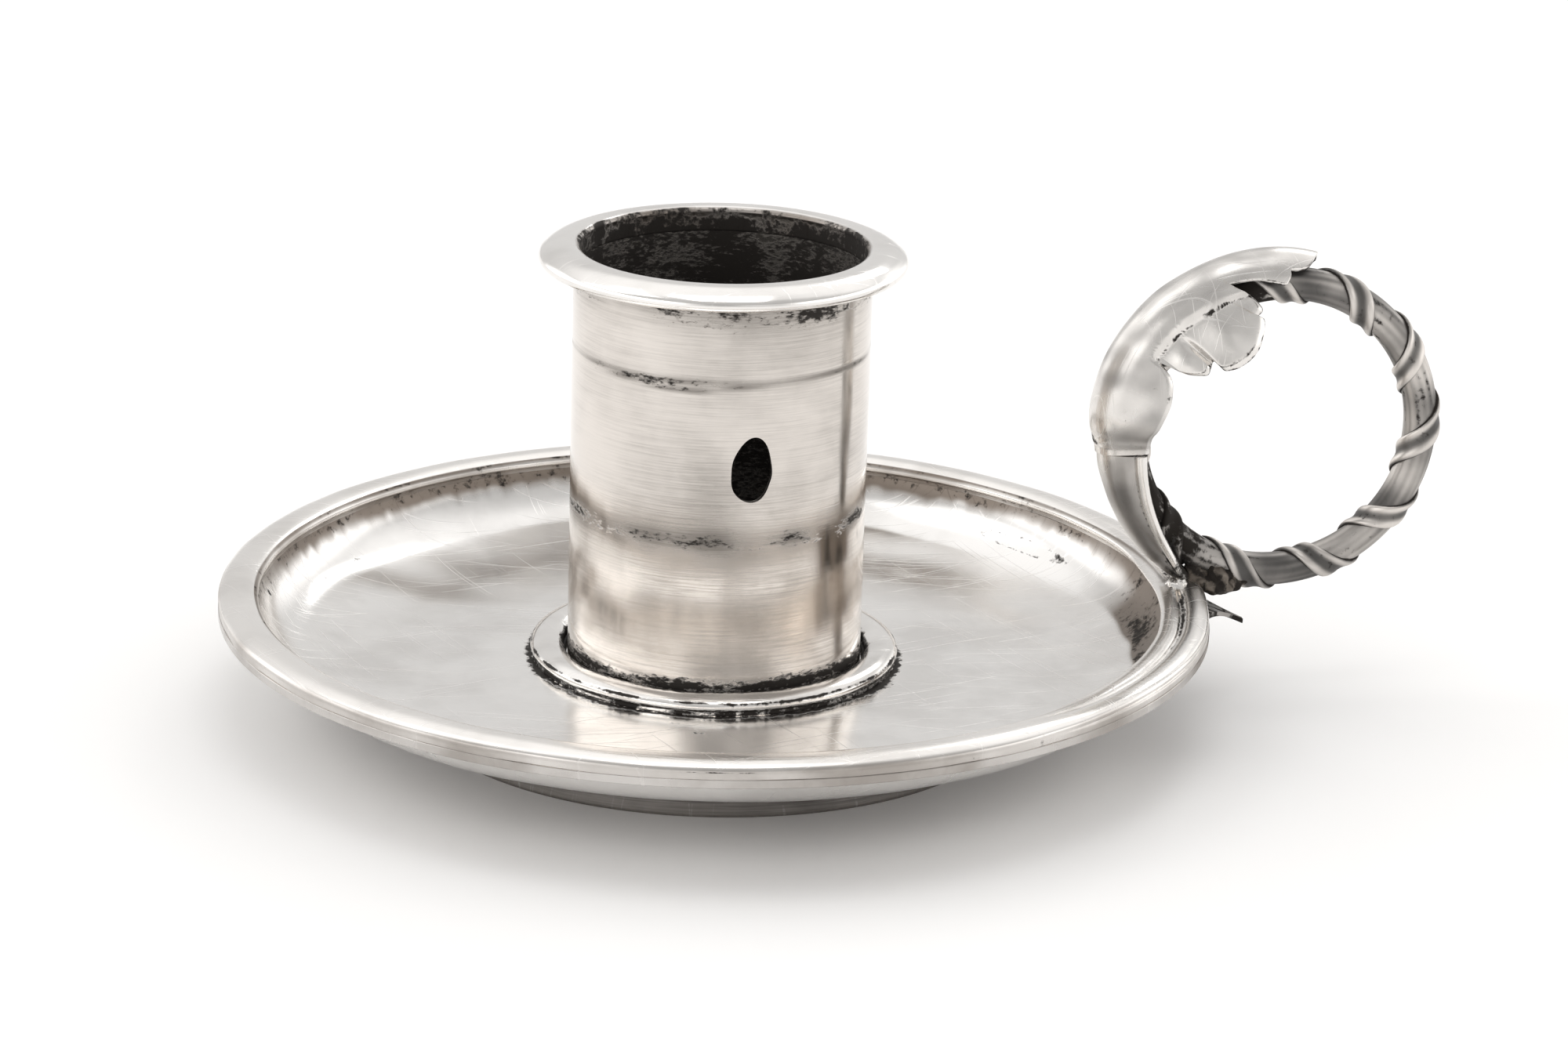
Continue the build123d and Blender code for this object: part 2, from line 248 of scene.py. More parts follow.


# The grime group breaks its field into ragged patches and pits of near black: real grime, and in some places
# painted shade. The hairline group draws fine scratches in several directions, and the rub group fine lines
# that lie level.
grime_tree, grime_in, grime_out = group("grime", {"Amount": 0.0, "Level": 1.0}, {"Mask": "NodeSocketFloat"})
place = add(grime_tree, "ShaderNodeTexCoord").outputs["Object"]
axes = add(grime_tree, "ShaderNodeSeparateXYZ", {0: place}).outputs
place = add(grime_tree, "ShaderNodeCombineXYZ", {
    0: axes[0], 1: axes[1], 2: math_of(grime_tree, "MULTIPLY", axes[2], grime_in["Level"]),
}).outputs[0]
crust = noise_of(grime_tree, place, 1400.0, 6.0, 0.7)
patch = noise_of(grime_tree, place, 300.0, 3.0)
torn = math_of(grime_tree, "MULTIPLY_ADD", patch, 0.9, -0.75)
torn = math_of(grime_tree, "MULTIPLY_ADD", crust, 2.0, torn)
bare = math_of(grime_tree, "MULTIPLY", torn, -1.0)
depth = math_of(grime_tree, "MULTIPLY_ADD", grime_in["Amount"], 1.5, bare)
grime_tree.links.new(ramp_of(grime_tree, depth, -0.22, 0.16), grime_out["Mask"])

hair_tree, hair_in, hair_out = group("hairlines", {"Scale": 1.0}, {"Lines": "NodeSocketFloat"})
place = add(hair_tree, "ShaderNodeTexCoord").outputs["Object"]
sized = {0: place, "Scale": hair_in["Scale"]}
scaled = add(hair_tree, "ShaderNodeVectorMath", sized, operation="SCALE").outputs[0]
lines = 0.0
for turn in (0.05, 0.3, 1.2, 2.8):
    lay = stretched(hair_tree, scaled, (40.0, 4500.0, 40.0), (0.05, 0.03, turn))
    line = ramp_of(hair_tree, noise_of(hair_tree, lay, 1.0, 2.0), 0.655, 0.72)
    lines = math_of(hair_tree, "MAXIMUM", lines, line)
hair_tree.links.new(lines, hair_out["Lines"])

rub_tree, rub_in, rub_out = group("level_rub", {"Reach": 60.0, "Level": 2600.0}, {"Rub": "NodeSocketFloat"})
place = add(rub_tree, "ShaderNodeTexCoord").outputs["Object"]
axes = add(rub_tree, "ShaderNodeSeparateXYZ", {0: place}).outputs
reach = [math_of(rub_tree, "MULTIPLY", axes[k], rub_in["Reach"]) for k in (0, 1)]
level = math_of(rub_tree, "MULTIPLY", axes[2], rub_in["Level"])
lay = add(rub_tree, "ShaderNodeCombineXYZ", {0: reach[0], 1: reach[1], 2: level}).outputs[0]
rub_tree.links.new(noise_of(rub_tree, lay, 1.0, 5.0, 0.7), rub_out["Rub"])


def use(tree, name, **inputs):
    """Output of a node that uses a group of a name."""
    return add(tree, "ShaderNodeGroup", inputs, node_tree=bpy.data.node_groups[name]).outputs[0]


def field(tree, name):
    """A field of one number a point, read from the mesh."""
    return add(tree, "ShaderNodeAttribute", attribute_name=name).outputs["Fac"]


def mix(tree, factor, first, second):
    """One colour blended into another."""
    return add(tree, "ShaderNodeMix", {0: factor, 6: first, 7: second}, data_type="RGBA").outputs[2]


def silver(
    name, light, dark, smooth, rough,
    rub=0.0, reach=60.0, fine=2600.0, hair=0.5, hair_scale=1.0, lumps=0.0, smear=1.0,
):
    """Old silver: a light and a tarnished tone in soft patches, scratches, level rubbing and grime in the
    corners; the dark tone and the grime also carry painted shade. On deep glossy bounces the silver glows in
    its own tone, a painted glow that stands in for the light thrown to and fro between pan and tube."""
    scratch_tone = (0.92, 0.9, 0.88, 1.0)
    grime_tone = (0.018, 0.014, 0.011, 1.0)
    deep_bounce = 3.5
    material = bpy.data.materials.new(name)
    material.use_nodes = True
    tree = material.node_tree
    skin = tree.nodes["Principled BSDF"]
    place = add(tree, "ShaderNodeTexCoord").outputs["Object"]
    mask = use(tree, "grime", Amount=field(tree, "grime"), Level=smear)
    hairs = use(tree, "hairlines", Scale=hair_scale)
    rubbed = use(tree, "level_rub", Reach=reach, Level=fine)
    cloud = ramp_of(tree, noise_of(tree, place, 90.0, 5.0), 0.35, 0.7)
    # The field draws the dark tone in: real tarnish, and in some places painted shade and painted reflections
    # of shade.
    tarnish = math_of(tree, "ADD", field(tree, "tarnish"), math_of(tree, "MULTIPLY", cloud, 0.25))
    streak = ramp_of(tree, rubbed, 0.35, 0.7, -0.5 * rub, 0.5 * rub)
    tarnish = math_of(tree, "ADD", tarnish, streak)
    tarnish = ramp_of(tree, tarnish, 0.0, 1.0)
    tone = mix(tree, tarnish, light, dark)
    clean = ramp_of(tree, tarnish, 0.2, 0.7, 0.3 * hair, 0.0)
    tone = mix(tree, math_of(tree, "MULTIPLY", hairs, clean), tone, scratch_tone)
    # Near black where the mask is full: real grime, and painted shade where the field carries shade.
    tone = mix(tree, mask, tone, grime_tone)
    tree.links.new(tone, skin.inputs["Base Color"])
    # Painted glow: on glossy rays more than three bounces deep the silver emits its own tone, light that no
    # lamp gives.
    path = add(tree, "ShaderNodeLightPath").outputs
    deep = math_of(tree, "GREATER_THAN", path["Ray Depth"], deep_bounce)
    deep = math_of(tree, "MULTIPLY", deep, path["Is Glossy Ray"])
    tree.links.new(mix(tree, deep, (0.0, 0.0, 0.0, 1.0), tone), skin.inputs["Emission Color"])
    skin.inputs["Emission Strength"].default_value = 2.0
    gloss = ramp_of(tree, tarnish, 0.0, 1.0, smooth, rough)
    gloss = math_of(tree, "MULTIPLY_ADD", hairs, 0.12 * hair, gloss)
    gloss = math_of(tree, "MULTIPLY_ADD", mask, 0.5, gloss)
    tree.links.new(gloss, skin.inputs["Roughness"])
    tree.links.new(ramp_of(tree, mask, 0.0, 1.0, 1.0, 0.15), skin.inputs["Metallic"])
    height = math_of(tree, "MULTIPLY", hairs, -0.5 * hair)
    height = math_of(tree, "MULTIPLY_ADD", rubbed, rub, height)
    height = math_of(tree, "MULTIPLY_ADD", mask, 2.0, height)
    if lumps:
        height = math_of(tree, "MULTIPLY_ADD", noise_of(tree, place, 500.0, 3.0), lumps, height)
    bump = add(tree, "ShaderNodeBump", {"Height": height, "Strength": 0.35, "Distance": 0.00004})
    tree.links.new(bump.outputs[0], skin.inputs["Normal"])
    return material


foot_radius = 25.6
foot_height = 4.3
foot_flare = 0.5
foot_wall = 1.0
foot_columns = 288
foot_outline = softened(np.array([
    (foot_radius, 0.0),
    (foot_radius - foot_flare, foot_height),
    (foot_radius - foot_flare - foot_wall, foot_height),
    (foot_radius - foot_wall, 0.0),
]), 0.14, 0.12)
foot_points = turned(foot_outline, foot_columns)
foot_rise = foot_points[..., 2] / foot_height
# Darker towards the top under the pan, lighter at the standing edge; black along the top where it meets the
# pan.
foot_tarnish = 0.42 + 0.4 * np.clip(foot_rise, 0, 1) - 0.4 * hump(foot_rise, 0.0, 0.08)
foot_silver = silver(
    "foot_silver", (0.31, 0.29, 0.272, 1), (0.1, 0.092, 0.086, 1), 0.3, 0.5, rub=0.4, reach=60.0, fine=4500.0,
)
piece(
    "foot_ring_band", foot_points.reshape(-1, 3), grid_faces(len(foot_outline), foot_columns, True, True),
    "foot_ring", "brushed_silver", foot_silver,
    grime=0.75 * hump(foot_rise, 1.0, 0.12), tarnish=foot_tarnish,
)

# Drip pan: one disc of silver raised to a shallow dish. Its floor is a little uneven from the hammer,
# bright, scratched by use, and dark with grime in the corner against the collar; under the rim it is dark
# with grime and painted shade.
pan_radius = 42.2
pan_sheet = 0.7
floor_top = 5.0
floor_radius = 28.012
flange_top = 9.75
rim_inner = 39.0
slope_bend = 27.7395
slope_turn = math.radians(14.2624)
cove_bend = 5.8924
floor_under = floor_top - pan_sheet
flange_under = flange_top - pan_sheet
flange_round = 0.05
under_reach = 39.48
pole_reach = 0.4
pan_columns = 384
swell_place = (-28.6, 16.5)


def pan_side(sheet, count, reach=rim_inner):
    """The curved side as (radius, height), a sheet under the inside face: from the floor's edge up a wide
    circle and on round a narrow one, as far as a radius."""
    slope = np.linspace(0, slope_turn, count)
    rise = np.stack([np.sin(slope), -np.cos(slope)], 1)
    bend = np.array([floor_radius, floor_top + slope_bend]) + slope_bend * rise[-1]
    cove = np.array([floor_radius, floor_top + slope_bend]) + (slope_bend + sheet) * rise
    centre = bend - cove_bend * rise[-1]
    steep = np.linspace(slope_turn, math.asin((reach - centre[0]) / (cove_bend + sheet)), 2 * count)[1:]
    return np.vstack([cove, centre + (cove_bend + sheet) * np.stack([np.sin(steep), -np.cos(steep)], 1)])


def fan(pole, ring):
    """Triangles from one point's number to a closed ring of point numbers."""
    return np.stack([np.full(len(ring), pole), ring, np.roll(ring, -1)], 1).tolist()


pan_floor = np.stack([np.linspace(pole_reach, floor_radius, 90, endpoint=False), np.full(90, floor_top)], 1)
pan_inside = np.vstack([pan_floor, pan_side(0.0, 16)])
pan_flange = np.array([
    (pan_radius - flange_round, flange_top), (pan_radius, flange_top - flange_round),
    (pan_radius, flange_under + flange_round), (pan_radius - flange_round, flange_under),
])
floor_below = [(20.0, floor_under), (10.0, floor_under), (pole_reach, floor_under)]
pan_under = np.vstack([pan_side(pan_sheet, 12, under_reach)[::-1], floor_below])
pan_outline = np.vstack([pan_inside, pan_flange, pan_under])
pan_rows = len(pan_outline)
pan_points = turned(pan_outline, pan_columns)
pan_reach = np.hypot(pan_points[..., 0], pan_points[..., 1])
pan_level = pan_points * (1, 1, 0)
hammered = 0.1 * waves(pan_level, 26.0, 3) + 0.05 * waves(pan_level, 12.0, 4)
hammered += 0.02 * waves(pan_level, 6.0, 5)
from_swell = np.hypot(pan_points[..., 0] - swell_place[0], pan_points[..., 1] - swell_place[1])
hammered += 0.2 * hump(from_swell, 0.0, 4.5)
beaten = np.clip((38.5 - pan_reach) / 4, 0, 1) * np.clip((pan_reach - 15.5) / 4, 0, 1)
pan_points[..., 2] += hammered * beaten
pan_mesh = np.vstack([pan_points.reshape(-1, 3), [(0, 0, floor_top), (0, 0, floor_under)]])
first_row = np.arange(pan_columns)
last_row = (pan_rows - 1) * pan_columns + first_row
top_pole = pan_rows * pan_columns
pan_faces = grid_faces(pan_rows, pan_columns, False, True).tolist()
pan_faces += fan(top_pole, first_row) + fan(top_pole + 1, last_row[::-1])
pan_azimuth = np.degrees(np.arctan2(pan_mesh[:, 1], pan_mesh[:, 0]))
pan_reach = np.hypot(pan_mesh[:, 0], pan_mesh[:, 1])
pan_top = pan_mesh[:, 2] > floor_top - 0.3
pan_patchy = waves(pan_mesh, 6.0, 6)
far_back = np.clip(0.45 + 0.7 * np.sin(np.radians(pan_azimuth)), 0, 1)
at_left = hump(np.abs(pan_azimuth), 180.0, 34.0)
far_back = np.maximum(far_back, 0.7 * at_left)
round_rim = pan_mesh * (rim_inner / np.maximum(pan_reach, 1.0))[:, None] * (1, 1, 0)
strokes = waves(round_rim, 1.8, 8)
# Under the rim, mostly at the back and the left: a dark line of grime and painted shade at the top of the
# cove.
under_rim = hump(pan_reach, rim_inner, 0.5 + 0.1 * at_left + 0.14 * strokes) * (pan_mesh[:, 2] > 7.8)
collar_line = 15.75
pan_grime = ((0.3 + 0.05 * pan_patchy) * far_back + (0.22 + 0.06 * pan_patchy) * at_left) * under_rim
pan_grime += 0.5 * np.clip((waves(pan_mesh, 2.2, 7) - 1.25) / 0.3, 0, 1)
pan_grime += (0.72 + 0.14 * pan_patchy) * hump(pan_reach, collar_line, 0.42)
pan_grime += (0.14 + 0.2 * pan_patchy) * hump(pan_reach, collar_line + 0.65, 0.5)
from_loop = np.hypot((pan_azimuth - 32.3) / 7.3, (pan_reach - 37.25) / 0.5)
pan_grime += (0.48 + 0.1 * pan_patchy) * hump(from_loop, 1.0, 0.28)
pan_grime += 0.34 * hump(pan_azimuth, 141.0, 2.5) * hump(pan_reach, 36.6, 0.3)
stain_inside = 1 / (1 + np.exp((35.8 + 0.25 * pan_patchy - pan_reach) / 0.12))
joint_stain = stain_inside / (1 + ((pan_azimuth + 9.0) / 15.0) ** 6)
pan_grime = np.where(pan_top, np.maximum(pan_grime, (0.42 + 0.3 * pan_patchy) * joint_stain), 0.0)
pan_tarnish = 0.04 + 1.1 * joint_stain + (1.0 + 0.2 * pan_patchy) * far_back * under_rim
# The underside and the flange's outer edge are darker.
pan_tarnish += np.where(pan_top, 0.0, 0.45) + 0.42 * (pan_reach > 41.9)
pan_silver = silver("pan_silver", (0.9, 0.885, 0.865, 1), (0.2, 0.17, 0.145, 1), 0.18, 0.36, hair=0.85)
piece(
    "drip_pan_dish", pan_mesh, pan_faces, "drip_pan", "polished_silver", pan_silver,
    grime=pan_grime, tarnish=pan_tarnish,
)

# Rim moulding: a drawn strip of silver bent to a hoop and soldered on the flange. Near the joint it keeps its
# narrow bead, flat groove and wide roll, and elsewhere it is worn to one soft roll.
rim_corner = np.array([rim_inner, flange_top])
rim_size = np.array([3.2, 1.4])
rim_columns = 512
groove_share = 0.29
rim_bead = arc((0, 0.25), (0.11, 0.72), (0.22, 0.5), 10)
rim_roll = arc((0.36, 0.5), (0.64, 1.0), (0.92, 0.46), 24)
rim_shares = np.vstack([[(1.0, 0.0), (0.0, 0.0)], rim_bead, rim_roll, [(1.0, 0.4)]])
rim_outline = softened(rim_corner + rim_size * rim_shares, 0.1, 0.07)
worn_shares = np.vstack([[(1.0, 0.0), (0.0, 0.0)], arc((0.02, 0.22), (0.54, 1.0), (1.0, 0.36), 40)])
worn_outline = softened(rim_corner + rim_size * worn_shares, 0.01, 0.05)
worn_outline = worn_outline[np.linspace(0, len(worn_outline), len(rim_outline), endpoint=False).astype(int)]
rim_spin = (np.linspace(0, 360, rim_columns, endpoint=False) + 180) % 360 - 180
grooved = 1 / (1 + ((rim_spin + 22.0) / 32.0) ** 8)
moulded = turned(rim_outline, rim_columns)
worn = turned(worn_outline, rim_columns)
rim_points = worn + grooved[:, None] * (moulded - worn)
rim_bump = waves(rim_points, 7.0, 11)
rim_points *= 1 - (0.0012 + 0.0012 * rim_bump)[..., None] * np.array([1, 1, 0])
rim_reach = np.hypot(rim_points[..., 0], rim_points[..., 1])
rim_share = (rim_reach - rim_inner) / rim_size[0]
rim_rise = (rim_points[..., 2] - flange_top) / rim_size[1]
rim_azimuth = np.degrees(np.arctan2(rim_points[..., 1], rim_points[..., 0]))
near_joint = hump(rim_azimuth, -12.0, 20.0)
rim_patchy = waves(rim_points, 5.0, 12)
at_back = np.clip(0.45 + 0.7 * np.sin(np.radians(rim_azimuth)), 0, 1)
at_back = np.maximum(at_back, hump(np.abs(rim_azimuth), 180.0, 34.0))
rim_grime = (0.2 + 0.1 * rim_patchy + 0.35 * near_joint) * grooved * hump(rim_share, groove_share, 0.08)
# The rim's inner foot, mostly at the back: dark with grime and painted shade, the same line as on the pan.
rim_inside = hump(rim_share, 0.02, 0.07) * (rim_rise < 0.8)
rim_grime += (0.32 + 0.06 * rim_patchy) * at_back * rim_inside
rim_grime += 0.17 * hump(rim_azimuth, -62.0, 14.0) * (1 + 0.4 * rim_patchy) * (rim_share > 0.75)
rim_grime += 0.5 * hump(rim_azimuth, -99.0, 5.0) * hump(rim_rise, 0.45, 0.04) * (rim_share > 0.9)
lump = hump(rim_azimuth, -4.5, 3.2) * hump(rim_share, 0.14, 0.16) * (rim_rise > 0.2)
rim_points[..., 2] += 0.3 * lump * (1 + 0.6 * waves(rim_points, 1.1, 13))
rim_grime = np.maximum(rim_grime, (0.55 + 0.25 * rim_patchy) * lump)
rim_silver = silver("rim_silver", (0.9, 0.875, 0.845, 1), (0.2, 0.17, 0.145, 1), 0.22, 0.4, hair=0.6)
rim_tarnish = 0.05 + 0.15 * grooved * hump(rim_share, groove_share, 0.12)
# Painted reflection: the outer face is darkened for the shaded table it would mirror. The inner foot is
# darkened for grime and painted shade.
rim_tarnish += 0.4 * np.clip((rim_share - 0.92) / 0.07, 0, 1) + (0.25 + 0.5 * at_back) * rim_inside
piece(
    "rim_moulding_hoop", rim_points.reshape(-1, 3), grid_faces(len(rim_outline), rim_columns, True, True),
    "rim_moulding", "polished_silver", rim_silver, grime=rim_grime, tarnish=rim_tarnish,
)

# Socket tube: sheet bent to a tube and soldered on the floor, with an egg-shaped hole cut in front. It is
# rubbed level all round, marked by a tide line near the lip, and black inside from candle ends. A dark band
# low on it and its darker front are painted reflections: of the rim and the shaded table, and of the dim side
# behind the camera.
tube_radius = 12.6
bore_radius = 12.1
tube_foot = floor_top
tube_top = 39.2
vent_azimuth = math.radians(-86.5)
vent_level = 25.0
vent_half = 1.725
vent_drop = 2.41
vent_rise = 3.19
vent_lean = math.radians(4.0)
tube_columns = 360
tube_levels = np.concatenate([
    np.linspace(tube_foot, 20.5, 32, endpoint=False),
    np.linspace(20.5, 30.5, 21),
    np.linspace(30.9, tube_top, 22),
])
window_rows = (32, 52)
window_half = 14
tide_level = 33.0
painted_band_level = 19.0


def tube_wall(radius):
    """One wall of the tube round the hole: a grid of azimuth and level with a window left out, and rings of
    points that close in from the window's edge to the egg, two half ellipses that lean a little. Gives
    points, faces and the egg's point numbers."""
    spin = vent_azimuth + np.radians(np.arange(tube_columns) - 360.0)
    spin, level = np.meshgrid(spin, tube_levels)
    grid = np.stack([radius * np.cos(spin), radius * np.sin(spin), level], -1).reshape(-1, 3)
    rows = len(tube_levels)
    faces = grid_faces(rows, tube_columns, False, True).reshape(rows - 1, tube_columns, 4)
    low, high = window_rows
    half = window_half
    open_cells = np.zeros(faces.shape[:2], bool)
    open_cells[low:high, :half] = True
    open_cells[low:high, -half:] = True
    faces = faces[~open_cells]
    column = np.arange(-half, half)
    row = np.arange(low, high)
    edge_row = np.concatenate([np.full(2 * half, low), row, np.full(2 * half, high), row[::-1] + 1])
    edge_column = np.concatenate([column, np.full(len(row), half), -column, np.full(len(row), -half)])
    edge = edge_row * tube_columns + edge_column % tube_columns
    across = radius * np.radians(edge_column)
    up = tube_levels[edge_row] - vent_level
    course = np.arctan2(up, across)
    tall = np.where(np.sin(course) > 0, vent_rise, vent_drop)
    egg = 1 / np.hypot(np.cos(course) / vent_half, np.sin(course) / tall)
    egg *= 1 + 0.02 * np.sin(5 * course + 1.0)
    share = (np.linspace(0, 1, 13)[1:] ** 0.8)[:, None]
    lean = vent_lean * share
    inner_across = egg * np.cos(course)
    inner_up = egg * np.sin(course)
    leaned_across = inner_across * np.cos(lean) + inner_up * np.sin(lean)
    leaned_up = inner_up * np.cos(lean) - inner_across * np.sin(lean)
    ring_across = across + (leaned_across - across) * share
    ring_up = up + (leaned_up - up) * share
    ring_spin = vent_azimuth + ring_across / radius
    rings = np.stack([radius * np.cos(ring_spin), radius * np.sin(ring_spin), vent_level + ring_up], -1)
    ring_numbers = len(grid) + np.arange(share.size * edge.size).reshape(share.size, edge.size)
    numbers = np.vstack([edge, ring_numbers])
    local = grid_faces(numbers.shape[0], numbers.shape[1], False, True)
    points = np.vstack([grid, rings.reshape(-1, 3)])
    return points, np.vstack([faces, numbers.reshape(-1)[local]]), numbers[-1]


outside, outside_faces, outside_egg = tube_wall(tube_radius)
inside, inside_faces, inside_egg = tube_wall(bore_radius)
tube_points = np.vstack([outside, inside])
inside_start = len(outside)


def bridge(first, second):
    """Quads between two closed rings of point numbers."""
    return np.stack([first, np.roll(first, -1), np.roll(second, -1), second], 1)


foot_row = np.arange(tube_columns)
top_row = (len(tube_levels) - 1) * tube_columns + foot_row
tube_faces = np.vstack([
    outside_faces,
    inside_faces + inside_start,
    bridge(outside_egg, inside_egg + inside_start),
    bridge(foot_row, foot_row + inside_start),
    bridge(top_row, top_row + inside_start),
])
dent = 0.035 * waves(tube_points, 17.0, 21) + 0.012 * waves(tube_points, 6.0, 22)
tube_points = tube_points * (1 - (0.047 - dent)[:, None] / tube_radius * np.array([1, 1, 0]))
tube_spin = np.degrees(np.arctan2(tube_points[:, 1], tube_points[:, 0]))
tube_level = tube_points[:, 2]
is_inside = np.arange(len(tube_points)) >= inside_start
ragged = waves(tube_points * (1, 1, 0.3), 5.0, 23)
tide = tide_level + 0.3 * waves(tube_points * (1, 1, 0), 14.0, 24)
from_front = np.abs((tube_spin + 100 + 180) % 360 - 180)
low_tide = tide - 0.8 * hump(tube_spin, -120.0, 28.0)
right_front = hump(tube_spin, -55.0, 35.0)
tube_grime = (0.72 + 0.2 * ragged) * hump(tube_level, tube_foot + 1.4, 0.75)
tube_grime += 0.6 * hump(tube_level, tube_top, 0.3)
tube_grime += (0.3 + 0.2 * ragged + 0.18 * right_front) * hump(tube_level, tube_top - 0.9, 1.2)
tube_grime += (0.22 + 0.06 * ragged) * hump(tube_level, tide, 0.16) + 0.2 * hump(tube_level, low_tide, 0.13)
tube_grime += 0.34 * hump(tube_level, tide - 0.4, 0.55) * hump(tube_spin, -122.0, 26.0)
# Painted reflection: a dark band low on the tube stands in for the rim and the shaded table mirrored in it.
tube_grime += (0.4 + 0.14 * ragged) * hump(tube_level, painted_band_level + 0.4 * ragged, 0.7)
tube_tarnish = 0.05 + 0.3 * hump(tube_level, tube_top, 1.8) + 0.05 * ragged
# Painted reflection: the side facing the camera is darkened for the dim side behind the camera that it
# mirrors.
tube_tarnish += 0.26 * hump(from_front, 0.0, 38.0)
tube_tarnish += (0.4 + 0.3 * ragged) * hump(tube_level, tide, 0.2) + 0.4 * hump(tube_level, low_tide, 0.16)
tube_tarnish += 0.3 * hump(tube_level, tide - 0.4, 0.45) * hump(tube_spin, -125.0, 22.0)
tube_tarnish += 0.1 * right_front + (0.35 + 0.25 * ragged) * hump(tube_level, painted_band_level + 0.2, 1.0)
bore_grime = 0.62 + 0.14 * ragged - 0.1 * hump(tube_level, tube_top, 2.0)
tube_grime = np.where(is_inside, bore_grime, tube_grime)
tube_tarnish = np.where(is_inside, 1.0, tube_tarnish)
socket_silver = silver(
    "socket_silver", (0.77, 0.725, 0.68, 1), (0.26, 0.24, 0.22, 1), 0.1, 0.34,
    rub=0.18, reach=160.0, fine=8000.0, hair=0.0, smear=2.5,
)
piece(
    "socket_tube_wall", tube_points, tube_faces, "socket_tube", "polished_silver", socket_silver,
    grime=tube_grime, tarnish=tube_tarnish,
)

# Socket lip: a cast ring soldered on the tube's end, with a falling top and a rounded nose. It is smooth and
# bright from handling, and sooty inside.
lip_corner = np.array([bore_radius, tube_top])
lip_size = np.array([3.4, 2.1])
lip_columns = 432
lip_shares = np.vstack([
    [(0.9, 0.18), (0.147, 0.0), (0.0, 0.0)],
    arc((0, 0.737), (0.03, 0.94), (0.12, 1.0), 8),
    arc((0.12, 1.0), (0.55, 0.97), (0.88, 0.72), 20),
    arc((0.88, 0.72), (1.0, 0.45), (0.9, 0.18), 12),
])
lip_outline = softened(lip_corner + lip_size * lip_shares, 0.09, 0.09)
lip_points = turned(lip_outline, lip_columns)
lip_points *= 1 - (0.001 + 0.001 * waves(lip_points, 11.0, 31))[..., None] * np.array([1, 1, 0])
lip_reach = np.hypot(lip_points[..., 0], lip_points[..., 1])
lip_level = lip_points[..., 2]
lip_grime = 0.8 * hump(lip_reach, tube_radius + 0.1, 0.4) * (lip_level < tube_top + 0.5)
lip_ragged = waves(lip_points, 3.0, 32)
lip_inside = np.clip((bore_radius + 0.36 + 0.05 * lip_ragged - lip_reach) / 0.2, 0, 1)
lip_grime += (0.6 + 0.2 * lip_ragged - 0.2 * np.clip((lip_level - 40.2) / 0.6, 0, 1)) * lip_inside
polished_silver = silver(
    "polished_silver", (0.9, 0.88, 0.855, 1), (0.2, 0.17, 0.145, 1), 0.13, 0.34, hair=0.6,
)
piece(
    "socket_lip_ring", lip_points.reshape(-1, 3), grid_faces(len(lip_outline), lip_columns, True, True),
    "socket_lip", "polished_silver", polished_silver, grime=lip_grime, tarnish=0.02 + 0.6 * lip_inside,
)

# Socket collar: a half-round wire ring soldered in the corner between tube and floor, bright on its crown,
# with black grime in the groove against the tube.
collar_corner = np.array([12.7, floor_top])
collar_size = np.array([2.95, 1.5])
collar_columns = 432
collar_round = arc((0.1, 0.34), (0.56, 1.0), (0.985, 0.26), 24)
collar_shares = np.vstack([[(1.0, 0.0), (0.0, 0.0), (0.0, 0.32)], collar_round])
collar_outline = softened(collar_corner + collar_size * collar_shares, 0.08, 0.08)
collar_points = turned(collar_outline, collar_columns)
collar_points *= 1 - (0.003 + 0.003 * waves(collar_points, 7.0, 41))[..., None] * np.array([1, 1, 0])
collar_reach = np.hypot(collar_points[..., 0], collar_points[..., 1])
collar_patchy = waves(collar_points, 4.0, 42)
collar_grime = (0.75 + 0.2 * collar_patchy) * hump(collar_reach, 12.7, 0.55)
collar_grime += (0.55 + 0.3 * collar_patchy) * hump(collar_reach, 15.6, 0.12)
piece(
    "socket_collar_ring", collar_points.reshape(-1, 3),
    grid_faces(len(collar_outline), collar_columns, True, True),
    "socket_collar", "polished_silver", polished_silver,
    grime=collar_grime, tarnish=0.12 + 0.1 * collar_patchy,
)

# Finger ring: a round silver wire closed to a ring and soldered to the rim. It has gone grey, with dark lines
# drawn along it and a black crust at the joint; under the leaf it is black with crust and painted shade.
ring_centre = np.array([48.573, 0.0, 24.184])
ring_radius = 12.88
wire_radius = 1.45
wire_rows = 420
wire_columns = 112
joint_crust = 212.0
leaf_crust_and_shade = 104.0


def on_wire(angle, lift, turn):
    """Point at an angle in degrees round the ring, lifted off the wire's middle by a distance at a turn round
    the wire: turn 0 points away from the ring's centre and 90 degrees towards the near side."""
    angle, turn = np.radians(angle), np.radians(turn)
    reach = ring_radius + lift * np.cos(turn)
    spot = (reach * np.cos(angle), -lift * np.sin(turn), reach * np.sin(angle))
    return ring_centre + np.stack(np.broadcast_arrays(*spot), -1)


wire_angle = np.linspace(0, 360, wire_rows, endpoint=False)[:, None]
wire_turn = np.linspace(0, 360, wire_columns, endpoint=False)[None, :]
drawn = 0.5 * np.sin(np.radians(7 * wire_turn + 2.0 * wire_angle))
drawn = drawn + 0.5 * np.sin(np.radians(13 * wire_turn - 3.0 * wire_angle + 50))
drawn = drawn + 0.5 * np.sin(np.radians(4 * wire_turn + 5.0 * wire_angle + 20))
ring_points = on_wire(wire_angle, wire_radius - 0.03 + 0.02 * drawn, wire_turn)
ring_grime = 0.1 + 0.16 * drawn + 0.14 * waves(ring_points, 6.0, 51)
drawn = drawn * (0.7 + 0.6 * waves(ring_points, 5.0, 53))
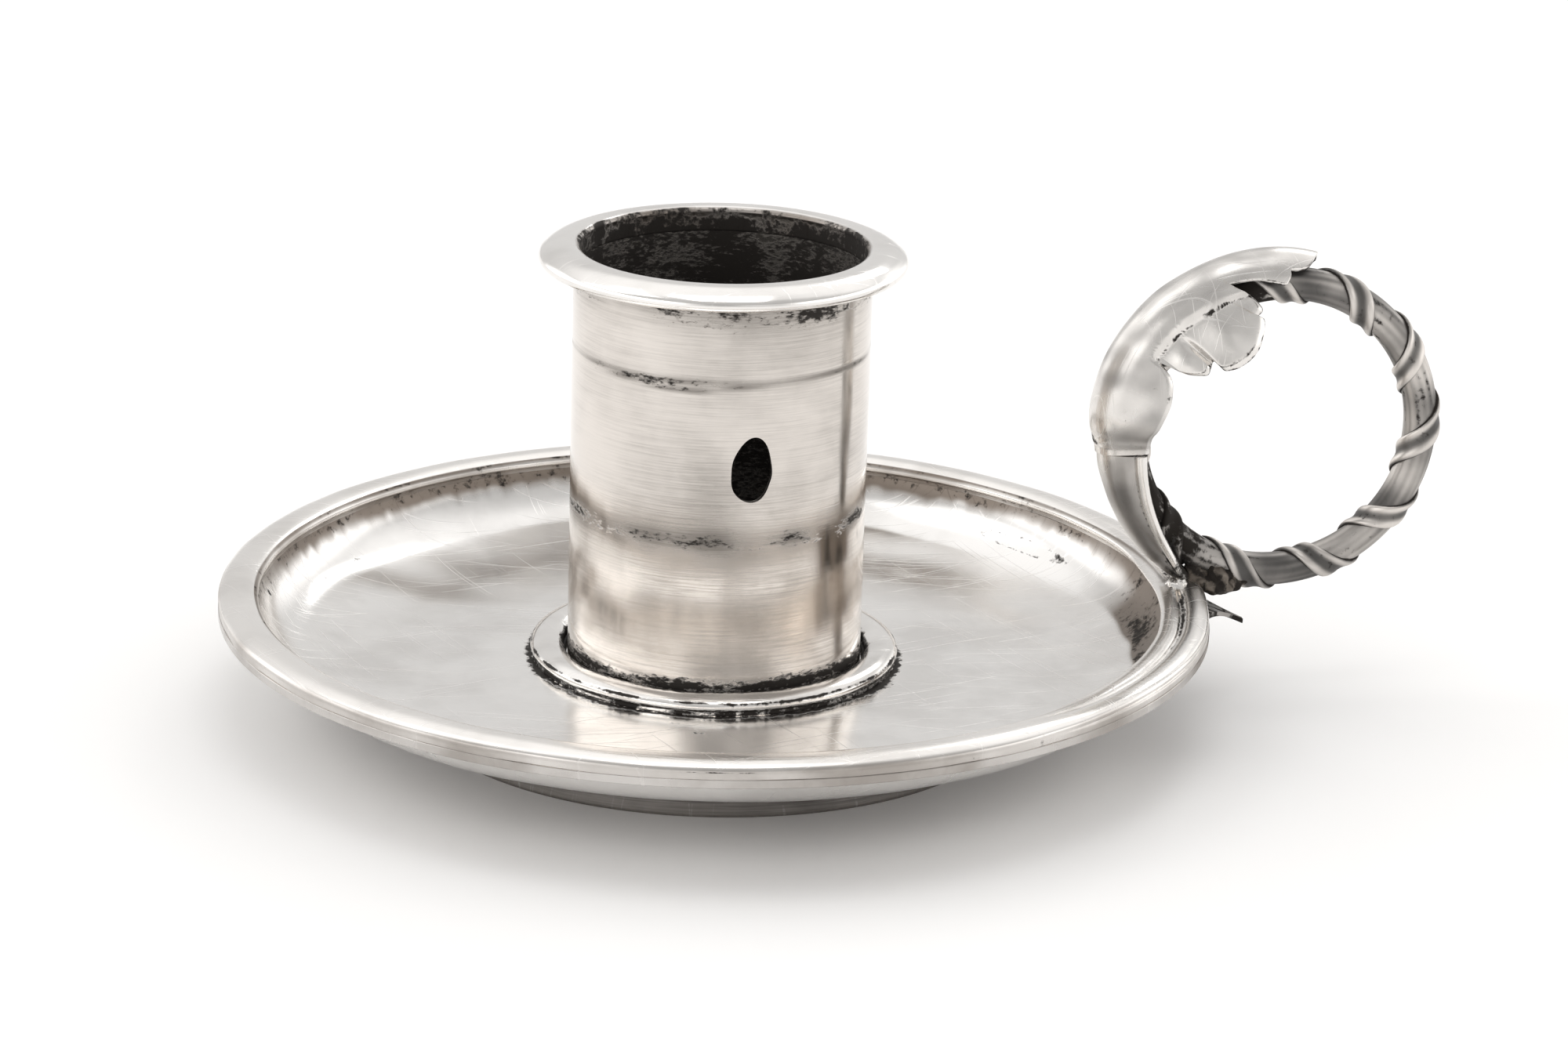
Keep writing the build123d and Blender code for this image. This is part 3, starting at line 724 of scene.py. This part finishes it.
# Under the leaf the wire is painted black, for crust and for the shade between leaf and ring.
ring_grime += 0.6 * hump(wire_angle, joint_crust, 30.0) + 0.6 * hump(wire_angle, leaf_crust_and_shade, 11.0)
oxidised_silver = silver(
    "oxidised_silver", (0.72, 0.68, 0.64, 1), (0.11, 0.106, 0.102, 1), 0.38, 0.5,
    hair=0.6, hair_scale=1.6,
)
piece(
    "finger_ring_wire", ring_points.reshape(-1, 3), grid_faces(wire_rows, wire_columns, True, True),
    "finger_ring", "oxidised_silver", oxidised_silver,
    grime=ring_grime, tarnish=0.55 + 0.14 * drawn + 0.25 * waves(ring_points, 5.0, 52),
)

# Ring wrap: one grooved ribbon wound round the wire from the solder joint to the leaf. Its two ridges are
# rubbed bright, the hollow between them and the lines at their feet are slate dark.
wrap_turns = 10.6
wrap_pitch = 32.6
wrap_start = 232.0
wrap_width = 2.7
wrap_seat = 1.36
wrap_foot = 1.5
wrap_height = 0.26
ribbon_shares = np.array([
    (-1.0, 0.0), (-0.98, 0.4), (-0.92, 0.74), (-0.82, 0.94), (-0.7, 1.0), (-0.56, 0.96),
    (-0.42, 0.8), (-0.27, 0.55), (-0.1, 0.38), (0.08, 0.34), (0.26, 0.42), (0.42, 0.62),
    (0.56, 0.85), (0.7, 0.98), (0.83, 0.96), (0.93, 0.7), (1.0, 0.0),
])
wound = np.linspace(0, wrap_turns, int(wrap_turns * 56))[:, None]
sway = 1.3 * np.sin(2 * math.pi * wound / 3.1 + 0.5)
wide, high = ribbon_shares[None, :, 0], ribbon_shares[None, :, 1]
width = wrap_width * (1 + 0.07 * np.sin(2 * math.pi * wound / 1.7))
ribbon_angle = wrap_start - wrap_pitch * wound + sway + np.degrees(wide * width / 2 / ring_radius)
ribbon_high = on_wire(ribbon_angle, wrap_foot + wrap_height * high, 360 * wound)
ribbon_low = on_wire(ribbon_angle, wrap_seat + 0 * high, 360 * wound)
ribbon = np.concatenate([ribbon_high, ribbon_low[:, ::-1]], 1)
ribbon_rows, ribbon_columns = ribbon.shape[:2]
ribbon_faces = grid_faces(ribbon_rows, ribbon_columns, False, True).tolist()
ribbon_numbers = np.arange(ribbon_rows * ribbon_columns).reshape(ribbon_rows, ribbon_columns)
ribbon_faces += [ribbon_numbers[0].tolist(), ribbon_numbers[-1, ::-1].tolist()]
hollow = np.concatenate([1 - high[0], np.ones(len(high[0]))])[None, :] + 0 * ribbon[..., 0]
ribbon_grime = 0.02 + 0.3 * hollow + 0.15 * waves(ribbon, 3.5, 61) + 0.5 * (hollow > 0.9)
ribbon_grime += 0.5 * hump(ribbon_angle[:, :1], joint_crust - 4.0, 24.0)
# Under the leaf the ribbon is painted black too, for crust and painted shade.
ribbon_grime += 0.6 * hump(ribbon_angle[:, :1], leaf_crust_and_shade, 11.0)
piece(
    "ring_wrap_ribbon", ribbon.reshape(-1, 3), ribbon_faces,
    "ring_wrap", "oxidised_silver", oxidised_silver,
    grime=ribbon_grime, tarnish=np.clip(0.18 + 1.2 * hollow + 0.2 * waves(ribbon, 4.0, 62), 0, 1),
)

# Thumb leaf: thick silver sheet cut to a leaf with round lobes, bent like a saddle over the ring and soldered
# to it. Its face is satin from wear, its cut edges are bright. Painted shade darkens the foot of the step
# down to the lobes, the lobes' cut edges and the underside against the ring.
leaf_outer = 2.92
leaf_shift = 0.85 * np.array([math.cos(math.radians(165.0)), 0.0, math.sin(math.radians(165.0))])
leaf_arch = math.radians(70.0)


def spline(knots, count):
    """A smooth line through knots of any number of values, passing each at an even step (Catmull-Rom)."""
    knots = np.array(knots, float)
    ends = np.vstack([2 * knots[0] - knots[1], knots, 2 * knots[-1] - knots[-2]])
    at = np.linspace(0, len(knots) - 1 - 1e-9, count)
    i = at.astype(int)
    f = (at - i)[:, None]
    a, b, c, d = (ends[i + k] for k in range(4))
    return b + 0.5 * f * (c - a + f * (2 * a - 5 * b + 4 * c - d + f * (3 * (b - c) + d - a)))


def saddled(angle, across, lift, centre):
    """Point of a sheet bent over the wire: across is the way along the sheet from the crest, near side
    positive, round an arch and then straight, lift stands off the sheet's outer face, and centre is that of
    the bend."""
    way = np.abs(across)
    bent = np.minimum(way / leaf_outer, leaf_arch)
    leg = np.maximum(way - leaf_outer * leaf_arch, 0)
    out = (leaf_outer + lift) * np.cos(bent) - leg * math.sin(leaf_arch)
    side = (leaf_outer + lift) * np.sin(bent) + leg * math.cos(leaf_arch)
    turn = np.radians(angle)
    reach = ring_radius + out
    spot = np.stack([reach * np.cos(turn), -np.sign(across) * side, reach * np.sin(turn)], -1)
    return centre + spot


def across_at(reach):
    """Way along the sheet from the crest to where its outer face has a distance from the ring's centre."""
    out = np.asarray(reach) - ring_radius
    bend_end = leaf_outer * math.cos(leaf_arch)
    bent = leaf_outer * np.arccos(np.clip(out / leaf_outer, -1, 1))
    straight = leaf_outer * leaf_arch + (bend_end - out) / math.sin(leaf_arch)
    return np.where(out > bend_end, bent, straight)


def shell_faces(rows, columns):
    """Faces of a sheet given as two grids of points, its outer and then its inner face, closed round the
    edge."""
    quads = grid_faces(rows, columns)
    number = np.arange(rows * columns).reshape(rows, columns)
    rim = np.concatenate([number[0], number[1:, -1], number[-1, -2::-1], number[-2:0:-1, 0]])
    return np.vstack([quads, quads + rows * columns, bridge(rim, rim + rows * columns)])


def angle_round_ring(points):
    """Angle of points round the ring's centre, in degrees from 0 to 360."""
    spot = points - ring_centre
    return np.degrees(np.arctan2(spot[:, 2], spot[:, 0])) % 360


def saddle_sheet(knots, rows, half_columns, sheet, lift, shift):
    """A closed sheet over the ring. Each knot has the angle and the distance from the ring's centre of an
    edge point, and the angle of the crest point that its cross line starts from. The cross lines lean towards
    the edge with the cube of their way. The bend's centre is shifted off the ring's. Gives points and faces,
    the share of the way to the edge, the way from the crest, and 1 on the outer face."""
    knots = np.array(knots, float)
    around = np.radians(knots[:, 0])
    spot = knots[:, 1, None] * np.stack([np.cos(around), np.sin(around)], 1) - shift[[0, 2]]
    knots[:, 2] += np.degrees(np.arctan2(spot[:, 1], spot[:, 0])) % 360 - knots[:, 0]
    knots[:, 0] = np.degrees(np.arctan2(spot[:, 1], spot[:, 0])) % 360
    knots[:, 1] = across_at(np.linalg.norm(spot, axis=1))
    edge_angle, edge_across, crest_angle = (column[:, None] for column in spline(knots, rows).T)
    share = np.sin(np.linspace(-1, 1, 2 * half_columns + 1) * math.pi / 2)[None, :]
    angle = crest_angle + (edge_angle - crest_angle) * np.abs(share) ** 3
    across = edge_across * share
    raised = lift(angle, across, share)
    round_off = 0.22 * np.clip((np.abs(share) - 0.93) / 0.07, 0, 1) ** 2
    faces_out = saddled(angle, across, raised - round_off, ring_centre + shift)
    faces_in = saddled(angle, across, raised - sheet + round_off, ring_centre + shift)
    columns = 2 * half_columns + 1
    faces = shell_faces(rows, columns)
    points = np.concatenate([faces_out.reshape(-1, 3), faces_in.reshape(-1, 3)])
    both = np.tile(np.broadcast_to(np.abs(share), angle.shape).ravel(), 2)
    way = np.tile(np.abs(across).ravel(), 2)
    outer = np.repeat([1.0, 0.0], rows * columns)
    return points, faces, both, way, outer


leaf_rows = 420
leaf_half_columns = 40
leaf_sheet = 0.8
leaf_knots = [
    (186, 12.2, 186), (179, 11.9, 179), (173.7, 11.35, 174), (164, 11.0, 165), (156, 11.35, 160),
    (151.5, 12.0, 156), (148.8, 13.2, 152), (148.2, 12.5, 149), (146.6, 11.0, 147), (141.4, 9.75, 144),
    (137, 9.9, 141), (133.8, 10.1, 138), (133.2, 9.45, 136), (132.4, 8.9, 134), (126, 8.45, 130),
    (117.5, 8.47, 127), (110.6, 8.95, 124), (106.6, 9.7, 122), (104, 10.5, 121), (103.4, 11.2, 120),
    (105.8, 11.45, 119.4), (103.2, 11.8, 119), (103.4, 12.3, 118), (106.6, 13.4, 116.5),
    (111.5, 14.15, 114.5),
    (113.6, 14.5, 113.6), (111.0, 14.55, 112), (103, 14.25, 105), (96.5, 13.75, 98), (92.6, 13.55, 94.5),
    (90.8, 14.1, 92.5), (90.6, 14.7, 91), (87.5, 14.75, 88), (84.0, 15.1, 84.8), (80.0, 15.85, 80.6),
]
lobe_start = 149.0
big_lobe = 117.0
small_lobe = 141.0


def leaf_lift(angle, across, share):
    """How far the leaf's face stands off the plain arch: a step down to the lobes, lobes puffed a little, a
    crease between the big lobe and the small one, and a ridge and fall where it is soldered to the stem."""
    lobed = np.clip((lobe_start - angle) / 3.0, 0, 1)
    step = -0.4 * lobed * np.clip((np.abs(across) - 4.2) / 0.5, 0, 1)
    puff = 0.35 * hump(angle, big_lobe, 9.0) * hump(across, 7.5, 2.2)
    puff = puff + 0.2 * hump(angle, small_lobe, 5.0) * hump(across, 6.6, 1.2)
    far_puff = 0.3 * hump(angle, big_lobe, 9.0) * hump(across, -7.5, 2.2)
    creased = np.clip((np.abs(across) - 5.0) / 2.0, 0, 1)
    crease = -0.5 * hump(angle, 133.0 - 0.6 * (across - 8.0), 1.4) * creased
    ridge = 0.03 * hump(angle, 184.0, 1.2) - 0.05 * hump(angle, 181.5, 1.5)
    fall = -0.6 * np.clip((angle - 172.0) / 13.0, 0, 1) ** 2
    spot = np.stack([angle * 0.22, across, 0 * angle + 0 * across], -1)
    return step + puff + far_puff + crease + ridge + fall + 0.05 * waves(spot, 4.0, 71)


leaf_points, leaf_faces, leaf_share, leaf_way, leaf_face = saddle_sheet(
    leaf_knots, leaf_rows, leaf_half_columns, leaf_sheet, leaf_lift, leaf_shift
)
leaf_angle = angle_round_ring(leaf_points)
leaf_drop = -leaf_points[:, 1]
leaf_grime = 0.04 + 0.3 * hump(leaf_angle, 182.5, 2.0) + 0.16 * waves(leaf_points, 4.0, 72)
leaf_lobed = np.clip((lobe_start - leaf_angle) / 3, 0, 1)
# Painted shade: a dark line at the foot of the step down to the lobes.
leaf_grime += 0.5 * hump(leaf_way, 4.72, 0.16) * leaf_lobed
# Painted shadow: dark outlines along the lobes' cut edges, for the sheet's thickness in shade.
leaf_grime += (0.34 * hump(leaf_share, 0.95, 0.014) + 0.4 * hump(leaf_share, 1.0, 0.015)) * leaf_lobed
# Darker along the crease between the lobes, and where the lobes start at the edge.
leaf_grime += 0.35 * hump(leaf_angle, 133.5, 0.8) * (leaf_drop > 3.8)
leaf_grime += 0.4 * hump(leaf_angle, 148.5, 1.2) * (leaf_share > 0.6)
# Painted shade: the inner face, against the ring, is near black, which also darkens the lower half of the cut
# edge.
leaf_grime = np.where(leaf_face > 0.5, leaf_grime, 0.75)
# The lobes are lighter; the crest, facing the tube, is darker with tarnish and painted shade.
leaf_tarnish = 0.16 - 0.2 * leaf_lobed * (leaf_way > 4.9) + 0.1 * hump(leaf_share, 0.0, 0.4)
leaf_tarnish -= 0.15 * (leaf_share > 0.96)
leaf_tarnish += 0.2 * waves(leaf_points, 7.0, 73) + 0.15 * waves(leaf_points, 2.5, 74)
satin_silver = silver(
    "satin_silver", (0.8, 0.775, 0.745, 1), (0.2, 0.192, 0.185, 1), 0.24, 0.44,
    hair=0.9, hair_scale=1.6, lumps=1.4,
)
piece(
    "thumb_leaf_sheet", leaf_points, leaf_faces, "thumb_leaf", "brushed_silver", satin_silver,
    grime=leaf_grime, tarnish=leaf_tarnish,
)

# Leaf stem: a silver strap, soldered to the leaf's lower end and to the rim, that carries the leaf. It is
# hollowed along its face, with a raised bright edge.
stem_rows = 160
stem_half_columns = 30
stem_sheet = 0.9
stem_edge = 0.8
stem_knots = [
    (186.5, 12.2, 186.5), (195, 12.4, 195), (205, 12.7, 205), (219, 13.3, 219), (232, 14.2, 232),
    (241.5, 15.4, 241.5),
]


def stem_lift(angle, across, share):
    """How far the stem's face stands off the plain arch: a hollow along its sides and a raised edge."""
    spot = np.stack([angle * 0.22, across, 0 * angle + 0 * across], -1)
    edge = 0.2 * np.clip((np.abs(share) - stem_edge) / 0.06, 0, 1)
    return edge - 0.22 * hump(np.abs(share), 0.5, 0.2) + 0.04 * waves(spot, 3.0, 81)


stem_points, stem_faces, stem_share, _, stem_face = saddle_sheet(
    stem_knots, stem_rows, stem_half_columns, stem_sheet, stem_lift, 0 * leaf_shift
)
stem_angle = angle_round_ring(stem_points)
# Dark towards the rim joint with crust, and darker along the foot of the raised edge.
stem_grime = 0.7 * np.clip((stem_angle - 222) / 18, 0, 1) + 0.4 * hump(stem_share, stem_edge, 0.03)
stem_grime += 0.1 * waves(stem_points, 3.0, 82)
# The hollow along the face is darker, more so towards the rim.
stem_dark = 0.35 * hump(stem_share, 0.5, 0.22) * np.clip((stem_angle - 184) / 15, 0, 1)
stem_dark += 0.15 * np.clip((stem_angle - 205) / 25, 0, 1)
piece(
    "leaf_stem_strap", stem_points, stem_faces, "leaf_stem", "brushed_silver", satin_silver,
    # Painted shade: the inner face, against the ring, is near black.
    grime=np.where(stem_face > 0.5, stem_grime, 0.8),
    tarnish=0.24 + stem_dark - 0.5 * (stem_share > 0.84) + 0.15 * waves(stem_points, 5.0, 83),
)


# Joint solder: the lumpy bed of hard solder under the ring, run in between ring and rim. It was blackened by
# the torch and never cleaned off.
def blob(centre, half_sizes, tilt, rows, columns, rough, length, seed):
    """A closed lump: a ball of rows and columns between two poles, stretched, made uneven along its rays and
    tilted about Y."""
    fall = np.linspace(0, math.pi, rows + 2)[1:-1, None]
    spin = np.linspace(0, 2 * math.pi, columns, endpoint=False)[None, :]
    rays = (np.sin(fall) * np.cos(spin), np.sin(fall) * np.sin(spin), np.cos(fall))
    ball = np.stack(np.broadcast_arrays(*rays), -1)
    ball = np.vstack([ball.reshape(-1, 3), [(0, 0, 1), (0, 0, -1)]])
    shape = ball * half_sizes
    uneven = rough * waves(shape, length, seed) + 0.4 * rough * waves(shape, length * 0.35, seed + 1)
    shape = shape * (1 + uneven)[:, None]
    turn = math.radians(tilt)
    spots = np.stack([
        shape[:, 0] * math.cos(turn) + shape[:, 2] * math.sin(turn),
        shape[:, 1],
        shape[:, 2] * math.cos(turn) - shape[:, 0] * math.sin(turn),
    ], 1)
    top = np.arange(columns)
    low = (rows - 1) * columns + top
    pole = rows * columns
    faces = grid_faces(rows, columns, False, True).tolist() + fan(pole, top) + fan(pole + 1, low[::-1])
    return spots + centre, faces


solder_points, solder_faces = blob((43.6, -0.1, 10.8), (2.5, 2.6, 1.4), 12.0, 80, 120, 0.22, 2.2, 91)
blackened_solder = silver(
    "blackened_solder", (0.34, 0.3, 0.26, 1), (0.1, 0.085, 0.07, 1), 0.3, 0.55, hair=0.0, lumps=2.5,
)
piece(
    "joint_solder_bed", solder_points, solder_faces, "joint_solder", "blackened_solder", blackened_solder,
    grime=0.52 + 0.35 * waves(solder_points, 1.2, 93), tarnish=0.6 + 0 * solder_points[:, 0],
)

# Joint bead: one drop of solder that ran onto the rim's inner side in front of the stem and set there. It is
# bright on top and dark at its foot.
bead_points, bead_faces = blob((39.7, -2.7, 10.9), (0.95, 0.9, 0.72), -20.0, 30, 48, 0.2, 1.1, 95)
piece(
    "joint_bead_drop", bead_points, bead_faces, "joint_bead", "blackened_solder", satin_silver,
    grime=0.5 * np.clip((10.7 - bead_points[:, 2]) / 0.4, 0, 1), tarnish=0.1 + 0 * bead_points[:, 0],
)

# Rim tab: a small pointed tongue of silver sheet, soldered under the flange, with its tip bent down past the
# rim. It has gone grey like the ring.
tab_middle = -2.0
tab_half = 3.0
tab_root = 40.28
tab_tip = 46.1
tab_top = 9.02
tab_rows = 60
tab_columns = 25
tab_reach = np.linspace(0, 1, tab_rows)[:, None]
tab_out = tab_root + (tab_tip - tab_root) * tab_reach
free = np.clip((tab_out - pan_radius) / (tab_tip - pan_radius), 0, 1)
tab_wide = tab_half * (0.06 + 0.94 * (1 - free) ** 2.2)
tab_share = np.sin(np.linspace(-1, 1, tab_columns) * math.pi / 2)[None, :]
tab_fall = tab_top - 1.5 * free ** 1.2 - 0.25 * free * (1 - tab_share**2)
tab_thick = 0.5 - 0.25 * free
tab_side = tab_middle + tab_wide * tab_share
tab_upper = np.stack(np.broadcast_arrays(tab_out, tab_side, tab_fall), -1)
tab_lower = np.stack(np.broadcast_arrays(tab_out, tab_side, tab_fall - tab_thick), -1)
tab_points = np.vstack([tab_upper.reshape(-1, 3), tab_lower.reshape(-1, 3)])
piece(
    "rim_tab_tongue", tab_points, shell_faces(tab_rows, tab_columns),
    "rim_tab", "oxidised_silver", oxidised_silver,
    grime=0.35 + 0.3 * waves(tab_points * (1, 3, 1), 2.5, 97), tarnish=0.5 + 0 * tab_points[:, 0],
)
